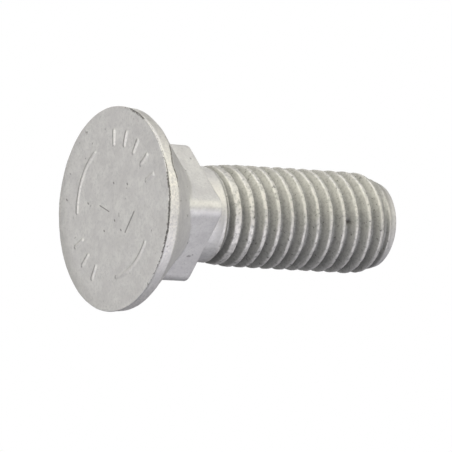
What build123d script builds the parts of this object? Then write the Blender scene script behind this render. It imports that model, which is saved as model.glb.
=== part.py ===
from build123d import *
import math
import os

# Plough bolt: a flat countersunk head, a short square neck and a coarse right-hand thread, forged and
# rolled as one piece of steel. It stands on its head, with the face on Z = 0 and the thread up along Z.

# Head, in millimetres
head_diameter = 19.6
rim_height = 1.3
rim_taper = 0.13
face_bevel = 0.25
countersink_angle = 90.0

# Square neck: its end is measured from the face, and its flats stand out from the shank by a small step
neck_height = 8.25
square_step = 0.32
square_corner_radius = 1.1
neck_bevel_share = 0.4

# Thread, rolled so that its crests stand above the plain shank and its roots lie below it
overall_length = 30.0
shank_length = 1.5
thread_diameter = 9.85
thread_pitch = 1.5
thread_angle = 60.0
crest_runout = 3.4
root_runout = 0.85

# Where a crest passes: a direction in degrees from +X, and its height there
crest_direction = -39.0
crest_height = 20.4

# Pointed end
point_diameter = 8.0
point_length = 2.4

# Shares of the pitch that the flat crest and root take, and of the thread's depth that lies above the shank
crest_share = 1 / 8
root_share = 1 / 4
rolled_share = 0.4

# How far a solid runs into its neighbour or past a surface
overrun = 0.8

# Derived sizes
cone_slope = 1 / math.tan(math.radians(countersink_angle / 2))
flank_slope = math.tan(math.radians(thread_angle / 2))
crest_half_width = thread_pitch * crest_share / 2
ridge_half_width = thread_pitch * (1 - root_share) / 2
thread_depth = (ridge_half_width - crest_half_width) / flank_slope
crest_radius = thread_diameter / 2
root_radius = crest_radius - thread_depth
shank_radius = crest_radius - thread_depth * rolled_share
head_radius = head_diameter / 2
point_radius = point_diameter / 2
square_side = 2 * (shank_radius + square_step)
thread_start = neck_height + shank_length


def turned(*outline):
    """A solid turned about Z from an outline of (radius, height) points."""
    return revolve(Plane.XZ * make_face(Polyline(*outline, close=True)), Axis.Z)


def head_and_shank():
    """The head, its countersink and the plain shank, which narrows to the thread's root and past it."""
    rim_end = head_radius - rim_taper
    cone_end = rim_height + (rim_end - shank_radius) * cone_slope
    fall = (shank_radius - root_radius) / root_runout
    core_end = thread_start + root_runout + overrun
    return turned(
        (0, 0),
        (head_radius - face_bevel, 0),
        (head_radius, face_bevel),
        (rim_end, rim_height),
        (shank_radius, cone_end),
        (shank_radius, thread_start),
        (root_radius - fall * overrun, core_end),
        (0, core_end),
    )


def square_neck():
    """The square that keeps the bolt from turning, with round corners and a bevel round its end."""
    base = Pos(0, 0, rim_height) * RectangleRounded(square_side, square_side, square_corner_radius)
    neck = extrude(base, neck_height - rim_height)
    return chamfer(neck.faces().sort_by(Axis.Z)[-1].edges(), square_step * neck_bevel_share)


def wound_ridge(first_turn, last_turn):
    """A ridge wound round a tube: strips ruled between helices, laid turn by turn and sewn into a solid."""
    bore_radius = root_radius - overrun
    section = [
        (bore_radius, -ridge_half_width),
        (root_radius, -ridge_half_width),
        (crest_radius, -crest_half_width),
        (crest_radius, crest_half_width),
        (root_radius, ridge_half_width),
        (root_radius, thread_pitch - ridge_half_width),
        (bore_radius, thread_pitch - ridge_half_width),
    ]
    helices = [
        Pos(0, 0, height) * Helix(thread_pitch, thread_pitch, radius).edge()
        for radius, height in section
    ]
    strips = [Face.make_surface_from_curves(*pair) for pair in zip(helices, helices[1:] + helices[:1])]
    lower_end, *skin, upper_end, bore = strips
    cap = (Plane.XZ * make_face(Polyline(*section, close=True))).face()
    faces = [
        Pos(0, 0, first_turn * thread_pitch) * lower_end,
        Pos(0, 0, first_turn * thread_pitch) * cap,
        Pos(0, 0, (last_turn - 1) * thread_pitch) * upper_end,
        Pos(0, 0, last_turn * thread_pitch) * cap,
    ]
    for turn in range(first_turn, last_turn):
        faces += [Pos(0, 0, turn * thread_pitch) * strip for strip in [*skin, bore]]
    return Pos(0, 0, crest_height) * Rot(0, 0, crest_direction) * Solid(Shell(faces))


def threaded_rod():
    """The threaded length: a ridge wound round a core, kept to a tapered start and a pointed end."""
    rise = (crest_radius - shank_radius) / crest_runout
    taper = (crest_radius - point_radius) / point_length
    rod_start = thread_start - overrun
    core_radius = root_radius - overrun / 2
    core = turned(
        (0, rod_start - overrun),
        (core_radius, rod_start - overrun),
        (core_radius, overall_length + overrun),
        (0, overall_length + overrun),
    )
    envelope = turned(
        (0, rod_start),
        (shank_radius - rise * overrun, rod_start),
        (crest_radius + rise * overrun, thread_start + crest_runout + overrun),
        (crest_radius + taper * overrun, overall_length - point_length - overrun),
        (point_radius, overall_length),
        (0, overall_length),
    )
    first_turn = math.floor((rod_start - crest_height) / thread_pitch) - 1
    last_turn = math.ceil((overall_length - crest_height) / thread_pitch) + 1
    return (core + wound_ridge(first_turn, last_turn)) & envelope


bolt = head_and_shank() + square_neck() + threaded_rod()

os.makedirs("parts", exist_ok=True)
export_step(bolt, "parts/bolt.step")
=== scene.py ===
"""A hot-dip galvanised plough bolt that stands on its head, seen by a camera that looks up at its face."""

import math

import bpy
import numpy as np
from mathutils import Matrix, Vector, noise


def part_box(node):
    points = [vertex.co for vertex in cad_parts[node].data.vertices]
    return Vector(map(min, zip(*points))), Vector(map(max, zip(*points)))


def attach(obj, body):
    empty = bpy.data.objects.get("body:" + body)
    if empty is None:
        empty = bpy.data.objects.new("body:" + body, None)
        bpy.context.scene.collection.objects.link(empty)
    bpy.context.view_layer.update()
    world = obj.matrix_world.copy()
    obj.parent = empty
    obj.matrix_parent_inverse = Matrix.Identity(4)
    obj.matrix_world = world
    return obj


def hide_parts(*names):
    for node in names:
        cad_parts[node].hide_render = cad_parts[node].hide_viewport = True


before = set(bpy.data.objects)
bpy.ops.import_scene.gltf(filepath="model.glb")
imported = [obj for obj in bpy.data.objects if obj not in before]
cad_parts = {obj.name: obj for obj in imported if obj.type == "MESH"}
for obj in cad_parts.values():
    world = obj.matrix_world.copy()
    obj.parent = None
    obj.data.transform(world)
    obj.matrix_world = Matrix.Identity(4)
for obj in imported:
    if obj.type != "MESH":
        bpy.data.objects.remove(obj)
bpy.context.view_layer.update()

# Metres in a millimetre: sizes below are in millimetres and degrees unless a comment says otherwise
MM = 0.001
low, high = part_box("bolt")
overall_length = (high.z - low.z) / MM
# Zinc that stands out from the steel round the head's rim
rim_coat = 0.04
head_radius = (high.x - low.x) / 2 / MM + rim_coat

# Face of the head, which is dished a little inside its edge, and the depth that still belongs to the face
face_sink = 0.11
edge_sink = 0.05
dish_span = (7.6, 9.6)
edge_radius = 0.08
face_depth = 2 * face_sink

# Raised marks on the face: arcs, and groups of plain bars that point to the middle, by (direction, count)
mark_half_width = 0.08
mark_wall = 0.16
arc_height = 0.06
bar_height = 0.08
arc_radius = 6.58
arc_spans = [(136.0, 194.0), (-12.0, 41.0)]
bar_groups = [(-101.0, 5), (93.0, 3)]
bar_step = 17.0
bar_span = (6.2, 7.5)

# Painted shade lies on the sides of the marks that lean in one direction, and a painted highlight on the
# other sides: both start at a slight lean and are full at a steeper one
shade_side_direction = 135.0
lean_band = (0.04, 0.25)

# Scratches and pits on the face: (x, y) of a scratch's two ends and its width, and (x, y) of each pit
scratches = [
    ((3.08, 0.26), (2.9, -2.16), 0.13),
    ((-2.1, 1.4), (-0.47, 0.75), 0.08),
]
pits = [(0.85, 0.68), (0.15, 2.62), (-1.83, -1.74), (0.06, -3.24), (-3.91, 2.64), (-7.03, 4.88), (2.31, 0.62)]
pit_width = 0.12

# Rim, which sways by (size of a wave, its height) at its end and has a dent there. In a band near its largest
# radius it carries a painted highlight, in stretches of (direction, spread, share of the full shade)
rim_height = 1.3
rim_taper = 0.13
rim_rounding = 0.12
rim_sway = (1.8, 0.07)
rim_highlight_band = (0.52, 0.26)
rim_highlight_stretches = [(-48.0, 40.0, 1.0), (28.0, 20.0, 1.0)]
dent_direction = -67.0
dent_spread = 7.0
dent_depth = 0.3
dent_fade = 1.5

# Crack that sways round the rim just behind the face's edge, dark in a band and in stretches like the rim's
# painted highlights, partly the crack's own dark and partly painted shade, and painted shade along a stretch
# of the rim's end
seam_height = 0.14
seam_sway = (1.6, 0.06)
seam_width = 0.12
seam_depth = 0.1
seam_band = (0.3, 0.15)
seam_stretches = [(-42.0, 44.0, 1.0), (-111.0, 12.0, 0.9)]
lip_drop = 0.04
lip_width = 0.12
lip_direction = -68.0
lip_spread = 18.0

# Square neck
square_half = 5.0
square_corner_radius = 1.25
neck_height = 8.25
neck_edge_radius = 0.12
neck_foot_radius = 0.1
cone_blend = 0.1

# Shank between the neck and the thread: painted shade in the crease at its foot, a painted highlight on one
# side and painted shade on another
crease_width = 0.09
shank_highlight_direction = -66.0
shank_highlight_spread = 19.0
shank_shade_direction = -22.0
shank_shade_spread = 26.0
shank_shade_start = 8.7
shank_fade = 0.15

# Patches of painted shade: round one side of the face, and on the rim and the thread by (direction, spread,
# start, end, share of the full shade)
face_shade_direction = 115.0
face_shade_spread = 60.0
face_shade_span = (7.5, 9.8)
face_shade_share = 0.8
shade_patches = [(-108.0, 22.0, 0.1, 1.3, 0.6), (-115.0, 25.0, 10.0, 13.5, 0.7)]
patch_fade = 0.3

# Thread, and where one of its crests passes: a direction, and the height there
shank_radius = 4.6
crest_radius = 4.93
thread_pitch = 1.5
thread_depth = 0.81
root_radius = crest_radius - thread_depth
thread_angle = 60.0
flank_slope = math.tan(math.radians(thread_angle / 2))
crest_half_width = 0.14
crest_rounding = 0.06
shoulder_rounding = 0.1
root_rounding = 0.24
thread_start = 9.75
crest_runout = 3.4
root_runout = 0.6
crest_direction = -39.0
crest_height = 20.4
crest_sway = (1.1, 0.05)

# Crests are wider towards the head near the start of the thread, and narrow away over a length
crest_widening = 0.15
widening_start = 13.0
widening_length = 3.0

# First groove: a thin burr and a nick beside it, by their places after the crest and the heights where they
# show, and painted shade on the groove's walls that starts at a depth below the crests, fades with height and
# lies towards a direction
burr_place = 0.52
burr_width = 0.08
burr_height = 0.26
nick_place = 0.29
nick_width = 0.09
nick_depth = 0.14
burr_span = (9.5, 10.9)
groove_band = (0.04, 0.14)
groove_fade = (12.2, 11.2)
groove_direction = -20.0
groove_spread = 60.0

# Pointed end, whose cone lies off the axis in a direction, more at its end than at its start, and whose last
# groove is filled on one side
point_radius = 4.05
point_length = 2.4
point_offset = 0.145
point_start_offset = 0.066
point_direction = 10.0
point_rounding = 0.12
end_edge_radius = 0.28
end_dish = 0.1
fill_direction = -105.0
fill_spread = 45.0
fill_span = (27.7, 28.2)
fill_drop = 0.05

# Chip in the thread: where it is, and its size
chip_direction = -40.0
chip_height = 24.2
chip_size = 0.2
chip_depth = 0.15

# Unevenness of the zinc, everywhere and under two of the masks: (size of a wave, its height)
zinc_waves = [(2.2, 0.025), (0.7, 0.014)]
masked_waves = {"crest": (0.42, 0.04), "seam": (0.6, 0.05)}

# Bands of the thread's masks: depths below the crests and above the roots, the heights between which the
# crests dim to a share, and the lengths at the thread's start and end over which its shade comes and goes
crest_band = (0.12, 0.02)
root_band = 0.5
crest_fade = (13.0, 17.0)
late_crest_share = 0.75
thread_fade = 0.5
end_fade = (0.5, 1.0)

# Mesh: columns round the sides, twice as many round the face, and rows along the outline, by number or as
# runs of (start, end, number)
side_columns = 196
face_row_runs = [(0.5, 4.8, 9), (4.8, 8.5, 38), (8.5, 9.72, 7)]
neck_row_runs = [
    (edge_sink + edge_radius, 0.4, 9),
    (0.4, 1.1, 7),
    (1.1, 1.6, 10),
    (1.6, 4.0, 12),
    (4.0, 6.4, 22),
    (6.4, neck_height - neck_edge_radius, 7),
]
edge_rows = 6
step_rows = 4
end_rows = 10
rows_per_pitch = 20
# Shortest length that a normal is divided by
least_length = 1e-9

# Zinc: its colours, and the colour of dirt and of painted shade
pale_zinc = (0.66, 0.66, 0.645, 1)
grey_zinc = (0.59, 0.585, 0.58, 1)
grain_zinc = (0.5, 0.5, 0.5, 1)
thread_zinc = (0.475, 0.475, 0.455, 1)
# Dull zinc: random grit on the thread, and the colour of painted shade
dull_and_shaded_zinc = (0.33, 0.33, 0.315, 1)
rubbed_zinc = (0.63, 0.62, 0.595, 1)
# Colour of painted highlights
highlight_zinc = (0.83, 0.81, 0.76, 1)
# Dark zinc in the thread's roots, partly dirt and partly painted shade, and the painted shade of the first
# groove
root_zinc = (0.155, 0.155, 0.15, 1)
dirt_and_shade = (0.06, 0.055, 0.05, 1)

# Noises in the zinc: (waves to a millimetre, detail, roughness), and the levels between which one colour
# gives way to another
zinc_noises = {
    "mottle": (0.55, 4.0, 0.6),
    "grain": (3.8, 6.0, 0.7),
    "specks": (2.8, 3.0, 0.6),
    "grit": (4.5, 3.0, 0.6),
    "pits": (1.3, 2.0, 0.5),
}
mottle_levels = (0.35, 0.65)
grain_levels = (0.25, 0.6)

# Coats of colour, each over the one before, some of them painted highlights and painted shade: (mask, noise
# that breaks it up, two levels of that noise, the coat's shares at those levels, colour)
coat_shares = [
    ("threaded", "grain", (0.2, 0.75), (1.0, 0.75), thread_zinc),
    ("threaded", "grit", (0.55, 0.3), (0.0, 0.8), dull_and_shaded_zinc),
    ("crest", "specks", (0.4, 0.56), (0.0, 1.0), rubbed_zinc),
    # Painted highlight on the rim, in its band and stretches
    ("rim", "grit", (0.4, 0.65), (0.1, 0.8), highlight_zinc),
    # Painted highlight on one side of the shank
    ("lens", "grain", (0.2, 0.6), (0.15, 0.4), highlight_zinc),
    # Painted highlight on the sides of the face's marks that lean away from the shaded side
    ("highlight_side", "grain", (0.3, 0.6), (0.0, 0.3), highlight_zinc),
    # Painted shade on the face, the rim, the shank and the thread
    ("painted_shade", "grain", (0.2, 0.7), (0.7, 0.5), dull_and_shaded_zinc),
    # Dark roots: partly dirt, partly painted shade
    ("root", "grain", (0.2, 0.7), (0.9, 0.5), root_zinc),
    # Painted shade in the first groove
    ("groove_shade", "grain", (0.2, 0.7), (0.6, 0.4), root_zinc),
]

# Dirt and painted shade: broken up by a noise as the coats are, or plain by (mask, share)
broken_dirt_and_shade_shares = [
    ("threaded", "specks", (0.37, 0.29), (0.0, 0.7)),
    # Painted shade on the sides of the face's marks that lean one way
    ("shade_side", "grain", (0.3, 0.6), (0.85, 0.55)),
    ("rim", "grit", (0.35, 0.24), (0.0, 0.45)),
]
# Painted shade in the crease and the nick, and the dark of the chip
plain_dirt_and_shade_shares = [("crease_shade", 0.4), ("nick", 0.4), ("chip", 1.0)]

# Dark paint with a ragged edge, partly the crack's own dark and partly painted shade: two levels of the grit,
# and (mask, how much the grit adds to it or takes away, two levels of the sum, share of the dark at the
# higher one)
ragged_levels = (0.3, 0.7)
ragged_dirt_and_shade_shares = [
    ("seam", 0.25, (0.3, 0.65), 0.85),
    ("lip_shade", 0.3, (0.3, 0.8), 0.8),
]

# Dirt in fine pits all over, at two levels of their noise, and in the face's scratches and pits
pit_levels = (0.7, 0.76)
pit_dirt_share = 0.5
stroke_dirt_share = 0.6

# Surface of the zinc: how rough it is at two levels of the grain, the grain's relief, and how metallic it is
rough_levels = (0.25, 0.75)
rough_span = (0.48, 0.66)
bump_strength = 0.4
bump_height = 0.05
metal_share = 0.5

# Camera, which looks at a point in the bolt: angles in degrees, with the roll from upright
camera_aim = (0.639, 0.789, 12.981)
camera_azimuth = -39.094
camera_elevation = -33.065
camera_roll = -93.305
camera_distance = 770.555
camera_lens = 637.168
camera_clip = (10.0, 10000.0)
sensor_width = 36.0

# Lamps: (name, heading as the camera's right, up and back, watts, colour), and distance and size in metres
lamp_distance = 0.8
lamp_size = 0.6
lamps = [
    ("key", (0.0, 0.6, 0.8), 2.2, (1.0, 0.99, 0.86)),
    ("top", (0.0, 1.0, 0.0), 2.5, (0.85, 0.84, 1.0)),
    ("top_left", (-0.4, 0.8, 0.4), 3.9, (1.0, 0.96, 0.8)),
    ("high_side", (0.8, 0.5, 0.3), 2.8, (1.0, 0.96, 0.8)),
    ("low_side", (0.6, -0.6, 0.5), 4.4, (0.94, 0.92, 1.0)),
    ("face", (-0.9, 0.0, 0.44), 3.65, (0.97, 0.95, 1.0)),
    ("rear", (-0.3, 0.1, -0.95), 3.0, (1.0, 1.0, 1.0)),
]

# Surround: the faint light that it gives, and how the camera sees it
surround_light = (0.12, 0.12, 0.12, 1)
surround_seen = (1.0, 1.0, 1.0, 1)

# Floor, in metres, and the share of its paleness that it gives off by itself, so that it stays pale far away
floor_reach = 5.0
floor_drop = 0.00005
floor_grey = (0.9, 0.9, 0.9, 1)
floor_glow_share = 0.3

# Angles of the columns, and of the rows over a rounded edge, in radians
side_angles = np.linspace(0, 2 * math.pi, side_columns, endpoint=False)
face_angles = np.linspace(0, 2 * math.pi, 2 * side_columns, endpoint=False)
edge_arc = np.linspace(0, math.pi / 2, edge_rows)[:, None]


def smooth_step(start, end, x):
    """0 up to start, 1 past end and smooth between them, whichever of the two is higher."""
    t = np.clip((x - start) / (end - start), 0, 1)
    return t * t * (3 - 2 * t)


def bell(x, width):
    """1 where x is zero, falling away smoothly over a width."""
    return np.exp(-((x / width) ** 2))


def smooth_min(a, b, width):
    """The lower of two, with a rounded corner of that width where they cross."""
    share = np.clip(0.5 + 0.5 * (b - a) / width, 0, 1)
    return b + (a - b) * share - width * share * (1 - share)


def smooth_max(a, b, width):
    """The higher of two, with a rounded corner of that width where they cross."""
    return -smooth_min(-a, -b, width)


def waves(points, size):
    """Smooth noise from about -1 to 1 at each point, with waves of that size."""
    flat = points.reshape(-1, 3) / size
    return np.array([noise.noise(p) for p in flat]).reshape(points.shape[:-1])


def round_points(radius, height, angles=side_angles):
    """Points at those radii and heights, one column for each angle."""
    shape = np.broadcast_shapes(np.shape(radius), np.shape(height), angles.shape)
    radius = np.broadcast_to(radius, shape)
    height = np.broadcast_to(height, shape)
    return np.stack([radius * np.cos(angles), radius * np.sin(angles), height], axis=-1)


def turn_from(direction, angles):
    """How far angles are from a direction, in radians, the short way round."""
    away = angles - math.radians(direction)
    return np.arctan2(np.sin(away), np.cos(away))


def toward(direction, spread, angles):
    """1 in a direction, falling away smoothly over a spread to both sides."""
    return bell(turn_from(direction, angles), math.radians(spread))


def strongest(stretches, angles):
    """Shade of the strongest of some stretches of (direction, spread, share), in each direction."""
    shades = [share * toward(direction, spread, angles) for direction, spread, share in stretches]
    return np.max(shades, axis=0)


def rows_of(runs):
    """A column of row places from runs of (start, end, number)."""
    return np.concatenate([np.linspace(*run, endpoint=False) for run in runs])[:, None]


def from_bars(x, y):
    """Distance from points to the nearest bar."""
    distances = []
    for middle, count in bar_groups:
        for k in range(count):
            direction = math.radians(middle + (k - (count - 1) / 2) * bar_step)
            along = x * math.cos(direction) + y * math.sin(direction)
            across = y * math.cos(direction) - x * math.sin(direction)
            distances.append(np.hypot(along - np.clip(along, *bar_span), across))
    return np.min(distances, axis=0)


def from_arcs(x, y):
    """Distance from points to the nearest arc."""
    radius = np.hypot(x, y)
    angles = np.arctan2(y, x)
    distances = []
    for start, end in arc_spans:
        past = np.abs(turn_from((start + end) / 2, angles)) - math.radians(end - start) / 2
        distances.append(np.hypot(radius - arc_radius, np.maximum(past, 0) * radius))
    return np.min(distances, axis=0)


def raised(distance, height):
    """Height of a raised mark with sloping walls, at a distance from its middle line."""
    return height * (1 - smooth_step(mark_half_width, mark_half_width + mark_wall, distance))


def face_rows():
    """Rows of the face from near its middle to its edge, with its raised marks."""
    radius = rows_of(face_row_runs)
    x = radius * np.cos(face_angles)
    y = radius * np.sin(face_angles)
    relief = np.maximum(raised(from_arcs(x, y), arc_height), raised(from_bars(x, y), bar_height))
    dish = edge_sink + (face_sink - edge_sink) * (1 - smooth_step(*dish_span, radius))
    return round_points(radius, dish - relief, face_angles)


def rim_dent(angles):
    """How far below its full height the rim ends, in each direction."""
    size, sway = rim_sway
    dent = dent_depth * toward(dent_direction, dent_spread, angles)
    return dent + sway * waves(round_points(head_radius, rim_height, angles), size)


def seam_line(angles):
    """Height of the crack in the rim, in each direction."""
    size, sway = seam_sway
    return seam_height + sway * waves(round_points(head_radius, 0, angles), size)


def square_radius():
    """Distance from the axis to the square neck's surface, in each direction."""
    inner = square_half - square_corner_radius
    from_flat = np.abs((side_angles + math.pi / 4) % (math.pi / 2) - math.pi / 4)
    on_flat = square_half / np.cos(from_flat)
    from_corner = math.pi / 4 - from_flat
    reach = math.sqrt(2) * inner
    in_corner = np.maximum(square_corner_radius**2 - (reach * np.sin(from_corner)) ** 2, 0)
    on_corner = reach * np.cos(from_corner) + np.sqrt(in_corner)
    return np.where(np.tan(from_flat) * square_half <= inner, on_flat, on_corner)


def head_rows(square):
    """Rows over the face's rounded edge, the rim, the cone and the sides of the square neck."""
    edge = head_radius - edge_radius * (1 - np.sin(edge_arc))
    edge_heights = edge_sink + edge_radius * (1 - np.cos(edge_arc))
    heights = rows_of(neck_row_runs)[1:]
    seam = seam_depth * bell(heights - seam_line(side_angles), seam_width)
    rim = head_radius - rim_taper * heights / rim_height - seam
    dent = rim_dent(side_angles) * smooth_step(rim_height + dent_fade, rim_height, heights)
    cone = head_radius - rim_taper + rim_height - heights - dent
    head = smooth_max(smooth_min(rim, cone, rim_rounding), square, cone_blend)
    return np.concatenate([round_points(edge, edge_heights), round_points(head, heights)])


def neck_end_rows(square):
    """Rows over the rounded end of the square neck, the step to the shank and the shank's foot."""
    edge = square - neck_edge_radius * (1 - np.cos(edge_arc))
    edge_heights = neck_height - neck_edge_radius + neck_edge_radius * np.sin(edge_arc)
    inner = shank_radius + neck_foot_radius
    share = np.linspace(0, 1, step_rows + 2)[1:-1, None]
    step = edge[-1] + (inner - edge[-1]) * share
    foot = inner - neck_foot_radius * np.sin(edge_arc)
    foot_heights = neck_height + neck_foot_radius * (1 - np.cos(edge_arc))
    rows = [
        round_points(edge, edge_heights),
        round_points(step, neck_height),
        round_points(foot, foot_heights),
    ]
    return np.concatenate(rows)


def after_crest(height, angles):
    """How far points lie after the crest below them, along the axis, where the crests sway a little."""
    size, sway = crest_sway
    swayed = height - crest_height + sway * waves(round_points(crest_radius, height, angles), size)
    turns = swayed / thread_pitch - turn_from(crest_direction, angles) / (2 * math.pi)
    return (turns - np.floor(turns)) * thread_pitch


def first_groove_lines(height, past_crest):
    """Where the burr and the nick beside it are, from 0 to 1."""
    start, end = burr_span
    middle = (start + end) / 2
    shown = smooth_step(start, middle, height) * smooth_step(end, middle, height)
    burr = shown * bell(past_crest - burr_place, burr_width)
    nick = shown * bell(past_crest - nick_place, nick_width)
    return burr, nick


def runout_radius(height):
    """Radius that the crests reach on the run-out, where the thread starts."""
    rise = (height - thread_start) / crest_runout
    return shank_radius + (crest_radius - shank_radius) * rise


def point_cone(height, angles=side_angles):
    """Radius of the cone that the end is pointed to, at each height and in each direction."""
    side = np.cos(turn_from(point_direction, angles))
    start = crest_radius + point_start_offset * side
    end = point_radius + point_offset * side
    return end + (overall_length - height) * (start - end) / point_length


def ridge_radius(height, past_crest):
    """Distance from the axis to the wound ridge and the groove beside it."""
    widening = crest_widening * np.exp(-np.maximum(height - widening_start, 0) / widening_length)
    behind = past_crest - crest_half_width
    ahead = thread_pitch - past_crest - crest_half_width - widening
    upper_flank = smooth_min(crest_radius - behind / flank_slope, crest_radius, crest_rounding)
    lower_flank = smooth_min(crest_radius - ahead / flank_slope, crest_radius, shoulder_rounding)
    ridge = smooth_max(np.maximum(upper_flank, lower_flank), root_radius, root_rounding)
    return smooth_min(ridge, runout_radius(height), crest_rounding)


def thread_radius(height):
    """Distance from the axis to the threaded surface, at each height and in each direction."""
    past_crest = after_crest(height, side_angles)
    fall = (height - thread_start) / root_runout
    core = smooth_min(shank_radius - (shank_radius - root_radius) * fall, shank_radius, crest_rounding)
    burr, nick = first_groove_lines(height, past_crest)
    thread = smooth_max(ridge_radius(height, past_crest), core, crest_rounding)
    thread = thread + burr_height * burr - nick_depth * nick
    fill = smooth_step(*fill_span, height) * toward(fill_direction, fill_spread, side_angles)
    return thread + fill * np.maximum(point_cone(height) - fill_drop - thread, 0)


def thread_rows():
    """Rows over the shank, the thread and the point, to near the middle of the dished end."""
    end = overall_length - end_edge_radius
    heights = np.arange(neck_height + neck_foot_radius, end, thread_pitch / rows_per_pitch)[1:, None]
    thread = smooth_min(thread_radius(heights), point_cone(heights), point_rounding)
    flat = point_cone(end) - end_edge_radius
    edge = flat + end_edge_radius * np.cos(edge_arc)
    edge_heights = end + end_edge_radius * np.sin(edge_arc)
    share = np.linspace(1, 0, end_rows + 1)[1:-1, None]
    dish = overall_length - end_dish * (1 - share**2)
    rows = [
        round_points(thread, heights),
        round_points(edge, edge_heights),
        round_points(flat * share, dish),
    ]
    return np.concatenate(rows)


def side_rows():
    """Rows of the sides from the face's edge, over rim, neck and thread, to near the middle of the end."""
    square = square_radius()
    return np.concatenate([head_rows(square), neck_end_rows(square), thread_rows()])


def outward(points):
    """Unit normals of a grid of rows and columns that closes round the bolt."""
    along = np.gradient(points, axis=0)
    around = np.roll(points, -1, axis=1) - np.roll(points, 1, axis=1)
    normal = np.cross(around, along)
    return normal / np.maximum(np.linalg.norm(normal, axis=-1, keepdims=True), least_length)


def on_face(radius, height):
    """True on the face, inside its edge."""
    return (height < face_depth) * (radius < dish_span[1])


def on_shank(height):
    """1 on the plain shank, and 0 away from it."""
    past_thread = smooth_step(thread_start, thread_start + shank_fade, height)
    return smooth_step(neck_height, neck_height + shank_fade, height) * (1 - past_thread)


def face_masks(points, radius, height):
    """Where the marks on the face carry painted shade and where they carry a painted highlight."""
    shade_side = math.radians(shade_side_direction)
    lean = outward(points) @ (math.cos(shade_side), math.sin(shade_side), 0)
    inside = on_face(radius, height)
    return {
        "shade_side": inside * smooth_step(*lean_band, lean),
        "highlight_side": inside * smooth_step(*lean_band, -lean),
    }


def rim_masks(radius, height, angles):
    """Where the rim carries its painted highlight, where it is cracked, its crack dark partly as painted
    shade, and where painted shade lies along its end.
    """
    inset = head_radius - radius
    highlight = smooth_step(*rim_highlight_band, inset) * smooth_step(seam_height, seam_height + seam_width, height)
    seam = smooth_step(*seam_band, inset) * bell(height - seam_line(angles), seam_width)
    lip_shade = bell(height - rim_height + rim_dent(angles) + lip_drop, lip_width) * (radius > square_half)
    return {
        "rim": highlight * strongest(rim_highlight_stretches, angles),
        "seam": seam * strongest(seam_stretches, angles),
        "lip_shade": lip_shade * toward(lip_direction, lip_spread, angles),
    }


def shank_masks(radius, height, angles):
    """Where the shank has painted shade in its crease and a painted highlight on one side."""
    crease_shade = bell(height - neck_height - crease_width, crease_width)
    return {
        "crease_shade": crease_shade * (radius < shank_radius + neck_foot_radius),
        "lens": on_shank(height) * toward(shank_highlight_direction, shank_highlight_spread, angles),
    }


def thread_masks(radius, height, angles):
    """Where the bolt is threaded, and the thread's crests, roots, first groove, nick and chip; the dark of
    the roots is partly painted shade, and that of the first groove and the nick is painted shade.
    """
    threaded = smooth_step(thread_start, thread_start + thread_fade, height)
    threaded = threaded * smooth_step(*end_fade, overall_length - height)
    limit = np.clip(runout_radius(height), shank_radius, crest_radius)
    below = np.minimum(limit, point_cone(height, angles)) - radius
    late = 1 - (1 - late_crest_share) * smooth_step(*crest_fade, height)
    burr, nick = first_groove_lines(height, after_crest(height, angles))
    groove_shade = smooth_step(*groove_band, below) * (1 - burr) * smooth_step(*groove_fade, height)
    round_chip = np.hypot(turn_from(chip_direction, angles) * radius, height - chip_height)
    return {
        "threaded": threaded,
        "crest": threaded * smooth_step(*crest_band, below) * late,
        "root": threaded * smooth_step(root_band, 0, radius - root_radius),
        "groove_shade": threaded * groove_shade * toward(groove_direction, groove_spread, angles),
        "nick": nick,
        "chip": bell(round_chip, chip_size) * (radius > root_radius - root_band),
    }


def painted_shade_mask(radius, height, angles):
    """Where the face, the rim, the shank and the thread carry painted shade."""
    face = (height < face_sink) * smooth_step(*face_shade_span, radius)
    painted_shade = face_shade_share * face * toward(face_shade_direction, face_shade_spread, angles)
    shank = on_shank(height) * smooth_step(shank_shade_start, thread_start, height)
    painted_shade = painted_shade + shank * toward(shank_shade_direction, shank_shade_spread, angles)
    for direction, spread, start, end, share in shade_patches:
        within = smooth_step(start - patch_fade, start, height) * smooth_step(end + patch_fade, end, height)
        patch = share * within * toward(direction, spread, angles)
        painted_shade = painted_shade + patch * (1 - on_face(radius, height))
    return np.minimum(painted_shade, 1)


def masks(points, angles):
    """All masks by name, from 0 to 1, for a grid of points with its columns at those angles."""
    x, y, height = np.moveaxis(points, -1, 0)
    radius = np.hypot(x, y)
    return {
        **face_masks(points, radius, height),
        **rim_masks(radius, height, angles),
        **shank_masks(radius, height, angles),
        **thread_masks(radius, height, angles),
        "painted_shade": painted_shade_mask(radius, height, angles),
    }


def with_zinc(points, shade):
    """The points with the uneven coat of zinc, the broken crack and the chip."""
    lift = sum(height * waves(points, size) for size, height in zinc_waves)
    for name, (size, height) in masked_waves.items():
        lift = lift + shade[name] * height * waves(points, size)
    lift = lift - chip_depth * shade["chip"]
    points = points + outward(points) * lift[..., None]
    points[..., 2] = np.clip(points[..., 2], 0, overall_length)
    return points


def numbers_of(grid, first):
    """Vertex numbers of a grid's rows and columns, counted from a first one."""
    rows, columns = grid.shape[:2]
    return first + np.arange(rows * columns).reshape(rows, columns)


def quads_of(index):
    """Faces between the rows of a grid of vertex numbers that closes round the bolt."""
    beside = np.roll(index, -1, axis=1)
    return np.stack([index[:-1], beside[:-1], beside[1:], index[1:]], axis=-1).reshape(-1, 4).tolist()


def pairs_of(row):
    """Each vertex number of a row that closes round the bolt, with the next one."""
    return zip(row.tolist(), np.roll(row, -1).tolist())


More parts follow.
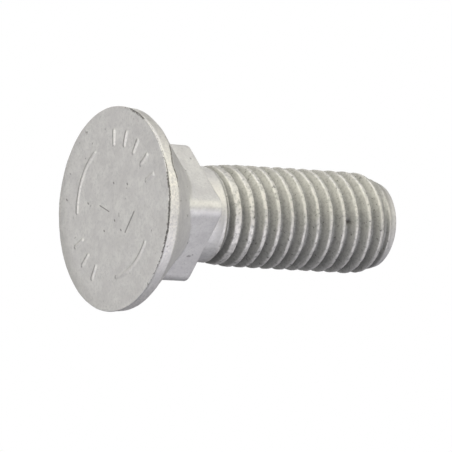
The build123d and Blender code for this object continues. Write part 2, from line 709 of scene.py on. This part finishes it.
def bolt_faces(face, side):
    """Faces of both grids, two fans that close their middles, and the strip where they meet."""
    face_middle = face.size + side.size
    end_middle = face_middle + 1
    faces = quads_of(face) + quads_of(side)
    faces += [(face_middle, b, a) for a, b in pairs_of(face[0])]
    faces += [(end_middle, a, b) for a, b in pairs_of(side[-1])]
    # The face has two columns for each one of the sides, so three triangles join them
    between = face[-1, 1::2].tolist()
    for (a, c), b, (d, e) in zip(pairs_of(face[-1, ::2]), between, pairs_of(side[0])):
        faces += [(a, b, d), (b, e, d), (b, c, e)]
    return faces


def bolt_mesh():
    """The whole bolt as one closed mesh, with its masks as attributes."""
    grids = [face_rows(), side_rows()]
    shades = [masks(grid, angles) for grid, angles in zip(grids, (face_angles, side_angles))]
    face, side = (with_zinc(grid, shade) for grid, shade in zip(grids, shades))
    face_index = numbers_of(face, 0)
    side_index = numbers_of(side, face_index.size)
    middles = [(0, 0, face[0, :, 2].mean()), (0, 0, side[-1, :, 2].mean())]
    vertices = np.concatenate([face.reshape(-1, 3), side.reshape(-1, 3), middles]) * MM
    mesh = bpy.data.meshes.new("galvanised_bolt")
    mesh.from_pydata(vertices.tolist(), [], bolt_faces(face_index, side_index))
    mesh.polygons.foreach_set("use_smooth", [True] * len(mesh.polygons))
    for name in shades[0]:
        values = np.concatenate([shades[0][name].ravel(), shades[1][name].ravel(), np.zeros(len(middles))])
        mesh.attributes.new(name, "FLOAT", "POINT").data.foreach_set("value", values.astype(np.float32))
    mesh.validate()
    mesh.update()
    return mesh


class Nodes:
    """Short ways to add and join shader nodes."""

    def __init__(self, tree):
        self.tree = tree
        tree.nodes.clear()

    def put(self, value, socket):
        """Join an output to a socket, or set the socket to a value."""
        if isinstance(value, bpy.types.NodeSocket):
            self.tree.links.new(value, socket)
        else:
            socket.default_value = value

    def add(self, kind, inputs=None, **settings):
        """A new node with those inputs and settings."""
        node = self.tree.nodes.new(kind)
        for name, value in settings.items():
            setattr(node, name, value)
        for name, value in (inputs or {}).items():
            self.put(value, node.inputs[name])
        return node

    def noise(self, place, scale, detail, roughness):
        """A smooth noise, mostly from 0.2 to 0.8."""
        inputs = {"Vector": place, "Scale": scale, "Detail": detail, "Roughness": roughness}
        return self.add("ShaderNodeTexNoise", inputs).outputs[0]

    def mask(self, name):
        """One of the mesh's masks."""
        return self.add("ShaderNodeAttribute", attribute_name=name).outputs["Fac"]

    def remap(self, value, start, end, low=0.0, high=1.0):
        """A value led smoothly from low at start to high at end."""
        inputs = {"Value": value, "From Min": start, "From Max": end, "To Min": low, "To Max": high}
        return self.add("ShaderNodeMapRange", inputs, interpolation_type="SMOOTHSTEP").outputs["Result"]

    def combine(self, kind, a, b):
        """Two numbers combined into one."""
        return self.add("ShaderNodeMath", {0: a, 1: b}, operation=kind).outputs[0]

    def vector(self, kind, a, b, output="Vector"):
        """Two vectors combined into one vector or number."""
        return self.add("ShaderNodeVectorMath", {0: a, 1: b}, operation=kind).outputs[output]

    def blend(self, share, a, b):
        """A colour that goes from a to b as the share rises from 0 to 1."""
        node = self.add("ShaderNodeMix", data_type="RGBA")
        sockets = {s.identifier: s for s in node.inputs}
        self.put(share, sockets["Factor_Float"])
        self.put(a, sockets["A_Color"])
        self.put(b, sockets["B_Color"])
        return next(s for s in node.outputs if s.identifier == "Result_Color")

    def broken(self, mask, noise_value, levels, shares):
        """A mask broken up by a noise, with a share at each of two levels of that noise."""
        return self.combine("MULTIPLY", self.mask(mask), self.remap(noise_value, *levels, *shares))

    def stroke(self, place, start, end, width):
        """1 on a straight stroke on the face between two (x, y) points, and 0 away from it."""
        foot = Vector((*start, 0))
        reach = Vector((*end, 0)) - foot
        from_foot = self.vector("SUBTRACT", place, foot)
        along = self.vector("DOT_PRODUCT", from_foot, reach / reach.length_squared, "Value")
        along = self.add("ShaderNodeClamp", {"Value": along}).outputs[0]
        nearest = self.add("ShaderNodeVectorMath", {0: reach, "Scale": along}, operation="SCALE").outputs[0]
        away = self.vector("DISTANCE", from_foot, nearest, "Value")
        return self.remap(away, width / 2, width, 1.0, 0.0)


def zinc_colour(n, noises):
    """Mottled and grainy zinc with its coats: duller on the thread, bright where its crests are rubbed, and
    with painted highlights and painted shade.
    """
    colour = n.blend(n.remap(noises["mottle"], *mottle_levels), grey_zinc, pale_zinc)
    colour = n.blend(n.remap(noises["grain"], *grain_levels), grain_zinc, colour)
    for mask, name, levels, shares, coat in coat_shares:
        colour = n.blend(n.broken(mask, noises[name], levels, shares), colour, coat)
    return colour


def face_strokes(n, place):
    """Dirt in the scratches and pits of the face."""
    flat_place = n.vector("MULTIPLY", place, (1, 1, 0))
    height = n.add("ShaderNodeSeparateXYZ", {0: place}).outputs["Z"]
    share = n.remap(height, face_sink, face_depth, stroke_dirt_share, 0.0)
    strokes = [n.stroke(flat_place, *scratch) for scratch in scratches]
    strokes += [n.stroke(flat_place, (x, y), (x + pit_width, y), pit_width) for x, y in pits]
    return [n.combine("MULTIPLY", stroke, share) for stroke in strokes]


def zinc_dirt_and_shade(n, noises, place):
    """Share of dirt and painted shade on the zinc: the strongest of all its layers."""
    layers = [n.remap(noises["pits"], *pit_levels, 0.0, pit_dirt_share)]
    layers += [n.broken(mask, noises[name], levels, s) for mask, name, levels, s in broken_dirt_and_shade_shares]
    layers += [n.combine("MULTIPLY", n.mask(mask), share) for mask, share in plain_dirt_and_shade_shares]
    for mask, swing, levels, share in ragged_dirt_and_shade_shares:
        ragged = n.combine("ADD", n.mask(mask), n.remap(noises["grit"], *ragged_levels, -swing, swing))
        layers.append(n.remap(ragged, *levels, 0.0, share))
    dark, *others = layers + face_strokes(n, place)
    for layer in others:
        dark = n.combine("MAXIMUM", dark, layer)
    return dark


def zinc_material():
    """Matt zinc with its coats, its dirt, and its painted highlights and painted shade."""
    material = bpy.data.materials.new("galvanised_zinc")
    material.use_nodes = True
    n = Nodes(material.node_tree)
    metres = n.add("ShaderNodeTexCoord").outputs["Object"]
    per_metre = (1 / MM, 1 / MM, 1 / MM)
    place = n.add("ShaderNodeMapping", {"Vector": metres, "Scale": per_metre}).outputs["Vector"]
    noises = {name: n.noise(place, *settings) for name, settings in zinc_noises.items()}
    grain = noises["grain"]
    relief = {"Height": grain, "Strength": bump_strength, "Distance": bump_height * MM}
    surface = {
        "Base Color": n.blend(zinc_dirt_and_shade(n, noises, place), zinc_colour(n, noises), dirt_and_shade),
        "Roughness": n.remap(grain, *rough_levels, *rough_span),
        "Metallic": metal_share,
        "Normal": n.add("ShaderNodeBump", relief).outputs["Normal"],
    }
    shader = n.add("ShaderNodeBsdfPrincipled", surface)
    n.add("ShaderNodeOutputMaterial", {"Surface": shader.outputs["BSDF"]})
    return material


def camera_axes():
    """The camera's right, up and back, as unit vectors."""
    azimuth, elevation, roll = (math.radians(a) for a in (camera_azimuth, camera_elevation, camera_roll))
    level = math.cos(elevation)
    back = Vector((math.cos(azimuth) * level, math.sin(azimuth) * level, math.sin(elevation)))
    level_right = (-back).cross(Vector((0, 0, 1))).normalized()
    level_up = level_right.cross(-back)
    up = level_up * math.cos(roll) + level_right * math.sin(roll)
    return (-back).cross(up), up, back


def add_camera():
    """The camera, with a long lens, turned to the point that it looks at."""
    right, up, back = camera_axes()
    near, far = camera_clip
    camera = bpy.data.objects.new("camera", bpy.data.cameras.new("camera"))
    camera.data.lens = camera_lens
    camera.data.sensor_width = sensor_width
    camera.data.clip_start = near * MM
    camera.data.clip_end = far * MM
    turn = Matrix((right, up, back)).transposed().to_4x4()
    place = (Vector(camera_aim) + back * camera_distance) * MM
    camera.matrix_world = Matrix.Translation(place) @ turn
    bpy.context.scene.collection.objects.link(camera)
    bpy.context.scene.camera = camera


def add_lamp(name, heading, watts, colour):
    """A square soft lamp that faces the middle of the bolt from a heading."""
    direction = sum((axis * share for axis, share in zip(camera_axes(), heading)), Vector())
    lamp = bpy.data.objects.new(name, bpy.data.lights.new(name, "AREA"))
    lamp.data.shape = "SQUARE"
    lamp.data.size = lamp_size
    lamp.data.energy = watts
    lamp.data.color = colour
    middle = Vector((0, 0, overall_length / 2 * MM))
    lamp.location = middle + direction.normalized() * lamp_distance
    lamp.rotation_mode = "QUATERNION"
    lamp.rotation_quaternion = direction.to_track_quat("Z", "Y")
    lamp.visible_camera = False
    bpy.context.scene.collection.objects.link(lamp)


def add_world():
    """A surround that lights the bolt faintly, and that the camera sees as plain white."""
    world = bpy.data.worlds.new("pale_surround")
    bpy.context.scene.world = world
    world.use_nodes = True
    n = Nodes(world.node_tree)
    seen = n.add("ShaderNodeLightPath").outputs["Is Camera Ray"]
    background = n.add("ShaderNodeBackground", {"Color": n.blend(seen, surround_light, surround_seen)})
    n.add("ShaderNodeOutputWorld", {"Surface": background.outputs["Background"]})


def floor_material():
    """A pale floor that shows from above and is clear from below."""
    material = bpy.data.materials.new("pale_floor")
    material.use_nodes = True
    n = Nodes(material.node_tree)
    below = n.add("ShaderNodeNewGeometry").outputs["Backfacing"]
    matt = n.add("ShaderNodeBsdfDiffuse", {"Color": floor_grey})
    glow = n.add("ShaderNodeEmission", {"Color": floor_grey, "Strength": floor_glow_share})
    pale = n.add("ShaderNodeAddShader", {0: matt.outputs[0], 1: glow.outputs[0]})
    clear = n.add("ShaderNodeBsdfTransparent")
    one_sided = n.add("ShaderNodeMixShader", {0: below, 1: pale.outputs[0], 2: clear.outputs[0]})
    n.add("ShaderNodeOutputMaterial", {"Surface": one_sided.outputs[0]})
    return material


def add_floor():
    """A square floor, just under the bolt, that neither lights nor shades it."""
    unit_corners = [(-1, -1), (1, -1), (1, 1), (-1, 1)]
    corners = [(x * floor_reach, y * floor_reach, -floor_drop) for x, y in unit_corners]
    mesh = bpy.data.meshes.new("floor")
    mesh.from_pydata(corners, [], [(0, 1, 2, 3)])
    mesh.materials.append(floor_material())
    floor = bpy.data.objects.new("floor", mesh)
    floor.visible_diffuse = False
    floor.visible_glossy = False
    floor.visible_shadow = False
    bpy.context.scene.collection.objects.link(floor)


bolt = bpy.data.objects.new("galvanised_bolt", bolt_mesh())
bolt.data.materials.append(zinc_material())
bpy.context.scene.collection.objects.link(bolt)
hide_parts("bolt")
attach(bolt, "root")

add_camera()
add_world()
add_floor()
for lamp in lamps:
    add_lamp(*lamp)
bpy.context.scene.view_settings.view_transform = "Standard"
